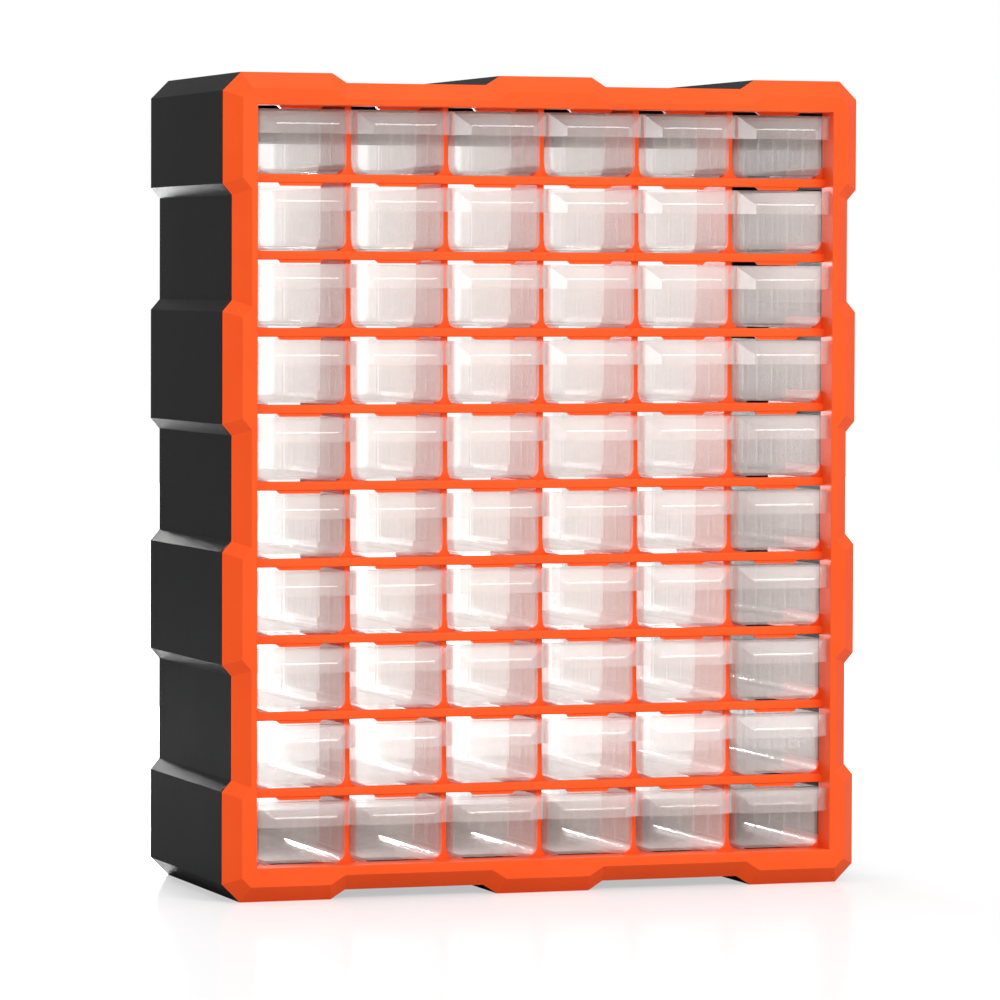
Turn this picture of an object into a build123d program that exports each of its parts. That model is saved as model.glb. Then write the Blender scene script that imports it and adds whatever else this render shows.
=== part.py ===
"""Parts bin cabinet: an orange front frame with its drawer grid, a black rear housing and clear drawers.

Millimetres. X runs across the cabinet, Y from the front (-) to the back (+), Z up.
The origin is at the middle of the bounding box's bottom face.
"""

from build123d import *
from math import atan2, degrees
import os

# ---- cabinet ----
cabinet_width = 380.0
cabinet_height = 463.0
cabinet_depth = 160.0

# ---- stepped outline, the same for the frame and the housing ----
step_depth = 5.3  # how far the recesses lie inside the blocks
side_step_run = 6.2  # length of each slanted step on the two sides
top_step_run = 8.5  # length of each slanted step on the top and the bottom
side_recess_half = 29.4  # half height of the recess at mid height
side_block_height = 62.9  # block between two side recesses, at its outer face
side_recess_height = 58.4  # upper and lower side recesses, at their floor
top_block_half = 27.5  # half width of the middle block on top, at its outer face
top_recess_width = 82.0  # recess beside the middle block, at its floor
corner_chamfer = 10.5

# ---- front frame ----
bezel_depth = 9.25  # from the flat front back to the outer edge
bezel_width = 9.2  # slope of the bevel, seen from the front
frame_wall = 2.4
collar_depth = 12.9  # inner side wall of the opening
collar_wall = 2.0
opening_edge_radius = 0.6
groove_inset = 1.0  # shadow groove between the frame and the housing
groove_width = 1.0
skirt_length = 10.0  # tongue that the housing slips over
skirt_wall = 2.0
skirt_clearance = 0.2

# ---- drawer grid: bars in front, and behind them the partitions with their rails ----
columns = 6
rows = 10
cell_width = 53.27  # clear width between two partitions
cell_height = 38.0  # clear height between two bars
opening_bottom = 19.8
grid_border = 4.0  # band of the frame that the grid leans on, behind the collar
bar_height = 5.0
bar_depth = 4.1
bar_edge_radius = 0.9
partition_width = 4.1
bead_depth = 4.0  # thick front edge of a partition
bead_radius = 1.2
web_thickness = 1.6  # thin partition behind its bead
rail_length = 49.9
rail_height = 6.5
rail_reach = 10.5  # ledge that a drawer's runner slides on
rail_thickness = 2.5
rail_fillet = 5.0
tab_top_width = 26.6  # stop tab in the middle of each cell's upper edge
tab_bottom_width = 23.0
tab_drop = 1.7
tab_depth = 3.5

# ---- rear housing ----
housing_wall = 2.2
flange_thickness = 2.5
back_side_margin = 20.0  # outline to the opening in the back, at the sides
back_top_margin = 36.0  # outline to the opening in the back, above and below
back_corner_radius = 8.0
wall_hole_radius = 2.6
wall_hole_spacing = 300.0
wall_hole_drop = 9.0  # below the top of the cabinet

# ---- drawer ----
drawer_width = 51.2
drawer_length = 139.0
drawer_wall = 1.4
drawer_face = 10.7  # face's distance behind the frame's front
drawer_top_gap = 0.5  # between the drawer's rim and the stop tab
drawer_corner_radius = 5.0
drawer_rear_chamfer = 1.0
stop_lip_gap = 0.6  # between the raised rear lip and the bar above it
stop_lip_width = 30.0
runner_height = 1.2
runner_width = 2.0
runner_offset = 20.0
runner_setback = 2.5  # both ends, inside the drawer's length
runner_clearance = 0.1
divider_ribs = 5  # on each side wall, evenly spaced
divider_rib_width = 2.0
divider_rib_height = 27.0
divider_rib_proud = 1.0

# ---- pull, a hood moulded on the drawer's face ----
pull_gap = 0.4  # between the pulls of two neighbouring drawers
pull_height = 13.4
pull_base_depth = 5.6  # straight part, out from the drawer's face
pull_nose_depth = 5.0  # mitred part, out from the base
pull_nose_width = 36.6
pull_nose_height = 5.4
pull_wall = 1.3
nose_edge_chamfer = 0.4
nose_edge_reach = 1.0  # the chamfered edges' middles lie at least this far outside the base and the lower rim

# ---- values that follow from the sizes above ----
cell_pitch_x = cell_width + partition_width
cell_pitch_z = cell_height + bar_height
opening_width = columns * cell_pitch_x
opening_height = rows * cell_pitch_z - bar_height
opening_middle = opening_bottom + opening_height / 2
bezel_angle = degrees(atan2(bezel_width, bezel_depth))
skirt_start = bezel_depth + groove_width
skirt_inset = housing_wall + skirt_clearance
rail_front = collar_depth + bar_depth
column_centres = [(column - (columns - 1) / 2) * cell_pitch_x for column in range(columns)]
partition_places = [(column - columns / 2) * cell_pitch_x for column in range(1, columns)]
row_floors = [opening_bottom + (rows - 1 - row) * cell_pitch_z for row in range(rows)]
drawer_floor = runner_clearance + runner_height
drawer_top = cell_height - tab_drop - drawer_top_gap
pull_width = cell_pitch_x - pull_gap
pull_bottom = drawer_top - pull_height
pull_front = drawer_face - pull_base_depth
pull_nose = pull_front - pull_nose_depth


def section(depth):
    """Upright plane that lies depth behind the frame's flat front."""
    return Plane.XZ.offset(cabinet_depth / 2 - depth)


def behind_front(depth):
    """Y of a depth behind the frame's flat front."""
    return depth - cabinet_depth / 2


def outline_sketch(depth, inset=0.0):
    """Face of the stepped outline at a depth, drawn in by an inset."""
    half_width = cabinet_width / 2
    half_height = cabinet_height / 2
    block_end = side_recess_half + side_step_run + side_block_height
    corner_block = block_end + 2 * side_step_run + side_recess_height
    top_recess = top_block_half + top_step_run
    quarter = [
        (top_block_half, half_height),
        (top_recess, half_height - step_depth),
        (top_recess + top_recess_width, half_height - step_depth),
        (top_recess + top_recess_width + top_step_run, half_height),
        (half_width - corner_chamfer, half_height),
        (half_width, half_height - corner_chamfer),
        (half_width, corner_block),
        (half_width - step_depth, corner_block - side_step_run),
        (half_width - step_depth, block_end + side_step_run),
        (half_width, block_end),
        (half_width, side_recess_half + side_step_run),
        (half_width - step_depth, side_recess_half),
    ]
    right = quarter + [(x, -z) for x, z in reversed(quarter)]
    whole = right + [(-x, z) for x, z in reversed(right)]
    with BuildSketch(section(depth)) as face:
        with Locations((0, half_height)):
            Polygon(*whole, align=None)
        if inset > 0:
            offset(amount=-inset, kind=Kind.INTERSECTION, mode=Mode.REPLACE)
    return face.sketch


def opening_sketch(depth, margin=0.0):
    """Rectangle of the frame's opening at a depth, grown by a margin."""
    with BuildSketch(section(depth)) as face:
        with Locations((0, opening_middle)):
            Rectangle(opening_width + 2 * margin, opening_height + 2 * margin)
    return face.sketch


# Corner rail on both sides of a partition: ledges level with the bar's top, upstands, round inner corners
with BuildSketch() as rail_profile:
    with BuildLine():
        side = partition_width / 2
        foot = Line((0, -rail_thickness), (side + rail_reach, -rail_thickness))
        lip = Line(foot @ 1, (side + rail_reach, 0))
        ledge = Line(lip @ 1, (side + rail_fillet, 0))
        corner = RadiusArc(ledge @ 1, (side, rail_fillet), rail_fillet)
        upstand = Line(corner @ 1, (side, rail_height))
        cap = Line(upstand @ 1, (0, rail_height))
        mirror(about=Plane.YZ)
    make_face()

# Stop tab that hangs from the upper edge of a cell, with its root inside the bar
with BuildSketch() as tab_profile:
    with BuildLine():
        root = Line((0, bar_height / 2), (tab_top_width / 2, bar_height / 2))
        neck = Line(root @ 1, (tab_top_width / 2, 0))
        slant = Line(neck @ 1, (tab_bottom_width / 2, -tab_drop))
        edge = Line(slant @ 1, (0, -tab_drop))
        mirror(about=Plane.YZ)
    make_face()

# Front frame: bezel, collar, tongue, the band that the grid leans on, and the rails of the two outer sides
with BuildPart() as front_frame:
    # stepped bezel with its bevel, hollow from behind
    extrude(outline_sketch(bezel_depth), amount=bezel_depth, taper=bezel_angle)
    extrude(
        outline_sketch(bezel_depth, skirt_inset + skirt_wall),
        amount=bezel_depth - frame_wall,
        taper=bezel_angle,
        mode=Mode.SUBTRACT,
    )
    # floor of the shadow groove, and the tongue that the housing slips over
    extrude(outline_sketch(bezel_depth, groove_inset), amount=-groove_width)
    extrude(outline_sketch(skirt_start, skirt_inset), amount=-skirt_length)
    extrude(
        outline_sketch(skirt_start + skirt_length, skirt_inset + skirt_wall),
        amount=groove_width + skirt_length,
        mode=Mode.SUBTRACT,
    )
    # collar round the opening
    extrude(opening_sketch(frame_wall / 2, collar_wall), amount=frame_wall / 2 - collar_depth)
    extrude(opening_sketch(0), amount=-collar_depth, mode=Mode.SUBTRACT)
    fillet(front_frame.faces().sort_by(Axis.Y)[0].inner_wires()[0].edges(), radius=opening_edge_radius)
    # band behind the collar, with the first row's stop tabs
    extrude(opening_sketch(collar_depth, grid_border), amount=-bar_depth)
    extrude(opening_sketch(collar_depth), amount=-bar_depth, mode=Mode.SUBTRACT)
    with BuildSketch(section(collar_depth)):
        with Locations(*[(x, row_floors[0] + cell_height) for x in column_centres]):
            add(tab_profile.sketch)
    extrude(amount=-tab_depth)
    # rails of the outer sides
    with BuildSketch(section(rail_front)):
        with Locations(*[(x, floor) for x in (-opening_width / 2, opening_width / 2) for floor in row_floors]):
            add(rail_profile.sketch)
        with Locations((0, opening_middle)):
            Rectangle(opening_width + 2 * grid_border, opening_height + 2 * grid_border, mode=Mode.INTERSECT)
    extrude(amount=-rail_length)

# Cross bar whose top is at Z = 0, with rounded front edges and a stop tab over each cell below
with BuildPart() as cross_bar:
    with BuildSketch(section(collar_depth)):
        Rectangle(opening_width, bar_height, align=(Align.CENTER, Align.MAX))
    extrude(amount=-bar_depth)
    fillet(cross_bar.faces().sort_by(Axis.Y)[0].edges().filter_by(Axis.X), radius=bar_edge_radius)
    with BuildSketch(section(collar_depth + bar_edge_radius)):
        with Locations(*[(x, -bar_height) for x in column_centres]):
            add(tab_profile.sketch)
    extrude(amount=bar_edge_radius - tab_depth)

# Partition at X = 0: a thick rounded front edge, a thin web, and the corner rails of the rows on both sides
with BuildPart() as partition:
    with BuildSketch(section(rail_front)):
        with Locations((0, opening_middle)):
            Rectangle(partition_width, opening_height + 2 * grid_border)
    extrude(amount=-bead_depth)
    fillet(partition.faces().sort_by(Axis.Y)[0].edges().filter_by(Axis.Z), radius=bead_radius)
    with BuildSketch(section(rail_front)):
        with Locations((0, opening_middle)):
            Rectangle(web_thickness, opening_height + 2 * grid_border)
        with Locations(*[(0, floor) for floor in row_floors]):
            add(rail_profile.sketch)
    extrude(amount=-rail_length)

# Rear housing: open-fronted shell whose back is a flange round a large opening
with BuildPart() as rear_housing:
    extrude(outline_sketch(skirt_start), amount=skirt_start - cabinet_depth)
    extrude(
        outline_sketch(skirt_start, housing_wall),
        amount=skirt_start + flange_thickness - cabinet_depth,
        mode=Mode.SUBTRACT,
    )
    with BuildSketch(section(cabinet_depth)):
        with Locations((0, cabinet_height / 2)):
            RectangleRounded(
                cabinet_width - 2 * back_side_margin,
                cabinet_height - 2 * back_top_margin,
                back_corner_radius,
            )
        with Locations((0, cabinet_height - wall_hole_drop)):
            with GridLocations(wall_hole_spacing, 0, 2, 1):
                Circle(wall_hole_radius)
    extrude(amount=flange_thickness, mode=Mode.SUBTRACT)


def hood(wall):
    """Pull's outer form, straight at its base and mitred at its nose; a wall shrinks it for the finger room."""
    low = pull_bottom - wall
    nose = behind_front(pull_nose + wall)
    front = behind_front(pull_front)
    face = behind_front(drawer_face)
    with BuildPart() as form:
        with BuildSketch(Plane.YZ):
            Polygon(
                (face, low),
                (nose, low),
                (nose, pull_bottom + pull_nose_height - wall),
                (front, drawer_top - wall),
                (face, drawer_top - wall),
                align=None,
            )
        extrude(amount=pull_width / 2 - wall, both=True)
        with BuildSketch(Plane.XY.offset(low)):
            Polygon(
                (wall - pull_width / 2, face),
                (wall - pull_width / 2, front),
                (-pull_nose_width / 2, nose),
                (pull_nose_width / 2, nose),
                (pull_width / 2 - wall, front),
                (pull_width / 2 - wall, face),
                align=None,
            )
        extrude(amount=pull_height, mode=Mode.INTERSECT)
    return form.part


# Drawer, standing in a cell whose floor is at Z = 0: tray, runners, divider ribs and pull in one clear moulding
with BuildPart() as drawer:
    add(hood(0))
    nose_edges = drawer.edges().filter_by(
        lambda edge: edge.center().Y < behind_front(pull_front) - nose_edge_reach
        and edge.center().Z > pull_bottom + nose_edge_reach
    )
    chamfer(nose_edges, length=nose_edge_chamfer)
    add(hood(pull_wall), mode=Mode.SUBTRACT)
    # tray with round bottom corners and bevelled rear corners
    with BuildSketch(section(drawer_face)) as tray_face:
        with Locations((0, drawer_floor)):
            Rectangle(drawer_width, drawer_top - drawer_floor, align=(Align.CENTER, Align.MIN))
        fillet(tray_face.vertices().group_by(Axis.Y)[0], radius=drawer_corner_radius)
    extrude(amount=-drawer_length)
    chamfer(drawer.edges().filter_by(Axis.Z).group_by(Axis.Y)[-1], length=drawer_rear_chamfer)
    with BuildSketch(section(drawer_face + drawer_wall)) as room_face:
        with Locations((0, drawer_floor + drawer_wall)):
            Rectangle(drawer_width - 2 * drawer_wall, drawer_top, align=(Align.CENTER, Align.MIN))
        fillet(room_face.vertices().group_by(Axis.Y)[0], radius=drawer_corner_radius - drawer_wall)
    extrude(amount=2 * drawer_wall - drawer_length, mode=Mode.SUBTRACT)
    # raised lip on the rear wall, which meets the stop tab when the drawer is pulled right out
    with Locations((0, behind_front(drawer_face + drawer_length), cell_height - stop_lip_gap)):
        Box(
            stop_lip_width,
            drawer_wall,
            cell_height - stop_lip_gap - drawer_top + drawer_wall,
            align=(Align.CENTER, Align.MAX, Align.MAX),
        )
    # runners under the floor
    runner_y = behind_front(drawer_face + runner_setback)
    with Locations(*[(x, runner_y, runner_clearance) for x in (-runner_offset, runner_offset)]):
        Box(
            runner_width,
            drawer_length - 2 * runner_setback,
            runner_height + drawer_wall / 2,
            align=(Align.CENTER, Align.MIN, Align.MIN),
        )
    # ribs on both side walls that hold a divider
    rib_root = drawer_wall / 2
    rib_x = drawer_width / 2 - rib_root
    rib_pitch = drawer_length / (divider_ribs + 1)
    rib_places = [behind_front(drawer_face + (rib + 1) * rib_pitch) for rib in range(divider_ribs)]
    for side_x, inwards in ((-rib_x, Align.MIN), (rib_x, Align.MAX)):
        with Locations(*[(side_x, y, drawer_floor + rib_root) for y in rib_places]):
            Box(
                divider_rib_proud + rib_root,
                divider_rib_width,
                divider_rib_height + rib_root,
                align=(inwards, Align.CENTER, Align.MIN),
            )

# Grid: its bars and partitions stay separate solids, face to face
with BuildPart() as cross_bars:
    with Locations(*[(0, 0, floor) for floor in row_floors[:-1]]):
        add(cross_bar.part)
with BuildPart() as partitions:
    with Locations(*[(x, 0, 0) for x in partition_places]):
        add(partition.part)
drawer_grid = Compound([*cross_bars.solids(), *partitions.solids()], label="drawer_grid")

front_frame.part.label = "front_frame"
rear_housing.part.label = "rear_housing"
finished = [front_frame.part, rear_housing.part, drawer_grid]

# Every drawer is a node of its own, but in the last row, where two neighbours share a node
shared_row = rows
drawer_nodes = {
    f"drawer_r{row:02d}_c{column}": [(row, column)]
    for row in range(1, shared_row)
    for column in range(1, columns + 1)
}
for column in range(1, columns, 2):
    pair = [(shared_row, column), (shared_row, column + 1)]
    drawer_nodes[f"drawers_r{shared_row}_c{column}_c{column + 1}"] = pair
for name, cells in drawer_nodes.items():
    with BuildPart() as placed:
        with Locations(*[(column_centres[column - 1], 0, row_floors[row - 1]) for row, column in cells]):
            add(drawer.part)
    placed.part.label = name
    finished.append(placed.part)

os.makedirs("parts", exist_ok=True)
for piece in finished:
    export_step(piece, f"parts/{piece.label}.step")
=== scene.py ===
# Parts bin cabinet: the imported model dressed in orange, black and frosted clear plastic, on a pale floor.
import math

import bpy
import numpy as np
from mathutils import Matrix, Vector

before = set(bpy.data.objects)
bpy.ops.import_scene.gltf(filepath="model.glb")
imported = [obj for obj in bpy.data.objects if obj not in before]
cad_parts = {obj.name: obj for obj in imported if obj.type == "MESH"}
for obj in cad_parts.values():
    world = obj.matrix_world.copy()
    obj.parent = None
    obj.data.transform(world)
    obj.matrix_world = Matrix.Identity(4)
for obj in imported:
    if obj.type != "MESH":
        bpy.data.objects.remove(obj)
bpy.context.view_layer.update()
scene = bpy.context.scene
print("frame loaded,", len(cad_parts), "nodes")


# an output socket that adds its own Math nodes, so a mask is written as a sum
class Wire:
    def __init__(self, maker, socket):
        self.maker, self.socket = maker, socket

    def math(self, operation, *values):
        return self.maker.node("ShaderNodeMath", {"operation": operation}, dict(enumerate(values)))

    def __add__(self, other):
        return self.math("ADD", self, other)

    def __sub__(self, other):
        return self.math("SUBTRACT", self, other)

    def __rsub__(self, other):
        return self.math("SUBTRACT", other, self)

    def __mul__(self, other):
        return self.math("MULTIPLY", self, other)

    def __truediv__(self, other):
        return self.math("DIVIDE", self, other)

    def __pow__(self, other):
        return self.math("POWER", self, other)

    __radd__ = __add__
    __rmul__ = __mul__

    def clipped(self):
        return self.math("MINIMUM", self.math("MAXIMUM", self, 0.0), 1.0)


# the shader nodes of a new material or world, and the one method that puts nodes among them
class Finish:
    def __init__(self, owner):
        self.owner = owner
        self.owner.use_nodes = True
        self.tree = self.owner.node_tree
        self.tree.nodes.clear()

    def node(self, kind, settings=None, values=None, out=0):
        made = self.tree.nodes.new(kind)
        for key, value in (settings or {}).items():
            setattr(made, key, value)
        for key, value in (values or {}).items():
            if isinstance(value, Wire):
                self.tree.links.new(value.socket, made.inputs[key])
            elif isinstance(value, tuple) and made.inputs[key].type == "RGBA":
                made.inputs[key].default_value = (*value, 1.0)
            else:
                made.inputs[key].default_value = value
        return Wire(self, made.outputs[out]) if made.outputs else None

    def place(self):
        return self.node("ShaderNodeTexCoord", out="Object")

    def grain(self, scale, detail):
        noise = {"Vector": self.place(), "Scale": scale, "Detail": detail}
        return self.node("ShaderNodeTexNoise", values=noise, out="Fac")

    def end(self, surface, output="ShaderNodeOutputMaterial"):
        self.node(output, values={"Surface": surface})
        return self.owner


# colours are linear; scales are per metre
orangeFinish = {
    "name": "orange_plastic",
    "colour": (0.950, 0.104, 0.018),
    "shade": (0.905, 0.092, 0.015),
    "refraction": 1.46,
    "specular": 0.13,
    "roughness": 0.36,
    "roughnessSpread": 0.10,
    "cloudScale": 14.0,
    "cloudDetail": 3.0,
    "cloudLow": 0.35,  # up to here a cloud has the shade's colour
    "cloudGain": 3.0,
    "grainScale": 1500.0,
    "grainDetail": 1.0,
    "bumpStrength": 0.05,
    "bumpDistance": 0.0002,
}
blackFinish = {
    "name": "black_plastic",
    "colour": (0.0095, 0.0096, 0.0100),
    "shade": (0.0066, 0.0067, 0.0070),
    "refraction": 1.46,
    "specular": 0.045,
    "roughness": 0.44,
    "roughnessSpread": 0.12,
    "cloudScale": 10.0,
    "cloudDetail": 3.0,
    "cloudLow": 0.35,
    "cloudGain": 3.0,
    "grainScale": 1100.0,
    "grainDetail": 1.0,
    "bumpStrength": 0.22,
    "bumpDistance": 0.0003,
}


def mouldedPlastic(look):
    finish = Finish(bpy.data.materials.new(look["name"]))
    cloud = finish.grain(look["cloudScale"], look["cloudDetail"])
    fine = finish.grain(look["grainScale"], look["grainDetail"])
    clouded = ((cloud - look["cloudLow"]) * look["cloudGain"]).clipped()
    # sockets 6, 7 and 2 are a colour mix's two colours and its result
    colour = finish.node(
        "ShaderNodeMix",
        {"data_type": "RGBA"},
        {"Factor": clouded, 6: look["shade"], 7: look["colour"]},
        out=2,
    )
    # both noises lie about 0.5
    spread = look["roughnessSpread"]
    rough = look["roughness"] + (cloud - 0.5) * spread + (fine - 0.5) * spread
    bump = finish.node(
        "ShaderNodeBump",
        values={"Strength": look["bumpStrength"], "Distance": look["bumpDistance"], "Height": fine},
    )
    skin = finish.node(
        "ShaderNodeBsdfPrincipled",
        values={
            "Base Color": colour,
            "Roughness": rough.clipped(),
            "Normal": bump,
            "IOR": look["refraction"],
            "Specular IOR Level": look["specular"],
        },
    )
    return finish.end(skin)


clearFinish = {
    "name": "clear_plastic",
    "colour": (0.80, 0.72, 0.71),
    "refraction": 1.49,
    "body": 0.06,  # share of the light that one skin of a wall throws back
    "haze": 0.08,  # share that it spreads out on its far side
    "edgeHaze": 0.22,  # added where a skin is seen along its surface
    "edgePower": 3.0,
    "edgeBlend": 0.5,
    "hazeColour": (1.0, 0.95, 0.89),
    "roughness": 0.24,
    "glossRoughness": 0.10,
    "glossBlend": 0.33,  # a refractive index of 1.49, as 1 / (1 - blend)
    "innerLoss": 0.62,  # how much weaker a skin mirrors on its inner side
}


def frostedPlastic(look):
    finish = Finish(bpy.data.materials.new(look["name"]))
    skin = finish.node(
        "ShaderNodeBsdfPrincipled",
        values={
            "Base Color": look["colour"],
            "Roughness": look["roughness"],
            "IOR": look["refraction"],
            "Alpha": look["body"],
        },
    )
    haze = finish.node("ShaderNodeBsdfTranslucent", values={"Color": look["hazeColour"]})
    along = finish.node("ShaderNodeLayerWeight", values={"Blend": look["edgeBlend"]}, out="Facing")
    hazeShare = look["haze"] + along ** look["edgePower"] * look["edgeHaze"]
    wall = finish.node("ShaderNodeMixShader", values={0: hazeShare, 1: skin, 2: haze})
    mirror = finish.node(
        "ShaderNodeBsdfGlossy",
        values={"Color": (1.0, 1.0, 1.0), "Roughness": look["glossRoughness"]},
    )
    grazing = finish.node("ShaderNodeLayerWeight", values={"Blend": look["glossBlend"]}, out="Fresnel")
    inside = finish.node("ShaderNodeNewGeometry", out="Backfacing")
    gloss = grazing * (1.0 - inside * look["innerLoss"])
    return finish.end(finish.node("ShaderNodeMixShader", values={0: gloss, 1: wall, 2: mirror}))


orange = mouldedPlastic(orangeFinish)
black = mouldedPlastic(blackFinish)
clear = frostedPlastic(clearFinish)
# every other node is a drawer
cabinetPlastics = {"front_frame": orange, "drawer_grid": orange, "rear_housing": black}
for name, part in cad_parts.items():
    part.data.materials.clear()
    part.data.materials.append(cabinetPlastics.get(name, clear))
print("plastics on", len(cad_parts), "nodes")


floorLook = {
    "reach": 6.0,
    "cells": 24,
    "colour": (0.46, 0.46, 0.465),
    "roughness": 0.12,
    "glow": 0.50,  # added for the camera, so that the lit floor is white and its shadow stays grey
    "sheen": 0.16,  # strength of the mirror image in front of the cabinet
    "fadeStart": 0.75,  # from here outwards the floor turns as white as the world behind it
    "fadeRun": 0.9,
}


def floorSheet(reach, cells):
    # x and y run evenly from -reach to reach; z is 0 all over
    places = np.linspace(-reach, reach, cells + 1)
    across, along = np.meshgrid(places, places)
    points = np.stack([across.ravel(), along.ravel(), np.zeros(across.size)], axis=1)
    first = (np.arange(cells)[:, None] * (cells + 1) + np.arange(cells)[None, :]).ravel()
    faces = np.stack([first, first + 1, first + cells + 2, first + cells + 1], axis=1)
    mesh = bpy.data.meshes.new("floor")
    mesh.from_pydata(points.tolist(), [], faces.tolist())
    sheet = bpy.data.objects.new("floor", mesh)
    scene.collection.objects.link(sheet)
    return sheet


def floorMaterial(look):
    finish = Finish(bpy.data.materials.new("pale_floor"))
    toEye = finish.node("ShaderNodeLightPath", out="Is Camera Ray")
    matt = finish.node("ShaderNodeBsdfDiffuse", values={"Color": look["colour"]})
    gloss = finish.node(
        "ShaderNodeBsdfGlossy",
        values={"Color": (1.0, 1.0, 1.0), "Roughness": look["roughness"]},
    )
    body = finish.node("ShaderNodeMixShader", values={0: look["sheen"], 1: matt, 2: gloss})
    place = finish.place()
    fromMiddle = finish.node("ShaderNodeVectorMath", {"operation": "LENGTH"}, {0: place}, out="Value")
    far = ((fromMiddle - look["fadeStart"]) / look["fadeRun"]).clipped()
    # the fade eases in and out as 3 far^2 - 2 far^3
    faded = far * far * (3.0 - far * 2.0)
    glow = finish.node("ShaderNodeEmission", values={"Color": toEye * (faded + look["glow"])})
    return finish.end(finish.node("ShaderNodeAddShader", values={0: body, 1: glow}))


floor = floorSheet(floorLook["reach"], floorLook["cells"])
floor.data.materials.append(floorMaterial(floorLook))
print("floor laid")


# a strength of 1 is white: ambient lights the cabinet, seen is what the camera gets
worldLook = {"ambient": 0.52, "seen": 1.0, "colour": (1.0, 1.0, 1.0)}


def studioWorld(look):
    finish = Finish(bpy.data.worlds.new("studio"))
    toEye = finish.node("ShaderNodeLightPath", out="Is Camera Ray")
    throughWall = finish.node("ShaderNodeLightPath", out="Is Transmission Ray")
    straight = toEye.math("MAXIMUM", toEye, throughWall)
    ambient, seen = (
        finish.node("ShaderNodeBackground", values={"Color": look["colour"], "Strength": look[level]})
        for level in ("ambient", "seen")
    )
    sky = finish.node("ShaderNodeMixShader", values={0: straight, 1: ambient, 2: seen})
    scene.world = finish.end(sky, output="ShaderNodeOutputWorld")


# each lamp: where it stands, what it looks at, its size and its power
lamps = {
    "keyLamp": {"at": (0.9, -2.6, 1.9), "to": (0.0, 0.0, 0.25), "size": (1.6, 1.2), "power": 55.0},
    "fillLamp": {"at": (-1.3, -2.9, 0.9), "to": (0.0, 0.0, 0.25), "size": (1.2, 1.4), "power": 26.0},
    "topLamp": {"at": (-0.3, 0.5, 2.4), "to": (0.0, 0.0, 0.3), "size": (1.8, 1.4), "power": 16.0},
    "backLamp": {"at": (0.0, 1.3, 0.26), "to": (0.0, 0.0, 0.23), "size": (0.34, 0.4), "power": 27.0},
}


def hangLamp(name, lamp):
    light = bpy.data.lights.new(name, "AREA")
    light.shape = "RECTANGLE"
    light.size, light.size_y = lamp["size"]
    light.energy = lamp["power"]
    holder = bpy.data.objects.new(name, light)
    away = Vector(lamp["at"]) - Vector(lamp["to"])
    holder.matrix_world = Matrix.Translation(lamp["at"]) @ away.to_track_quat("Z", "Y").to_matrix().to_4x4()
    holder.visible_camera = False
    scene.collection.objects.link(holder)


studioWorld(worldLook)
for name, lamp in lamps.items():
    hangLamp(name, lamp)
print("lamps hung:", len(lamps))


# places in metres, turns in degrees, the lens and the sensor's width in millimetres
eye = {
    "at": (-1.0224, -2.9676, 0.3471),
    "yaw": 18.97,
    "pitch": -2.31,
    "roll": 0.2,
    "lens": 195.0,
    "sensor": 36.0,
    "sightEnd": 50.0,
}
wallCrossings = 40  # skins that a sight line can cross on its way through the drawers


def setCamera(look):
    # forward = (sin yaw cos pitch, cos yaw cos pitch, sin pitch); roll turns right and up about it
    yaw, pitch, roll = (math.radians(look[key]) for key in ("yaw", "pitch", "roll"))
    forward = Vector((math.sin(yaw) * math.cos(pitch), math.cos(yaw) * math.cos(pitch), math.sin(pitch)))
    level = Vector((math.cos(yaw), -math.sin(yaw), 0.0))
    over = level.cross(forward)
    right = level * math.cos(roll) + over * math.sin(roll)
    up = over * math.cos(roll) - level * math.sin(roll)
    camera = bpy.data.cameras.new("camera")
    camera.sensor_fit = "HORIZONTAL"
    camera.sensor_width = look["sensor"]
    camera.lens = look["lens"]
    camera.clip_end = look["sightEnd"]
    holder = bpy.data.objects.new("camera", camera)
    turn = Matrix((right, up, -forward)).transposed().to_4x4()
    holder.matrix_world = Matrix.Translation(look["at"]) @ turn
    scene.collection.objects.link(holder)
    scene.camera = holder


setCamera(eye)
scene.view_settings.view_transform = "Standard"
scene.cycles.transparent_max_bounces = wallCrossings
print("camera set")
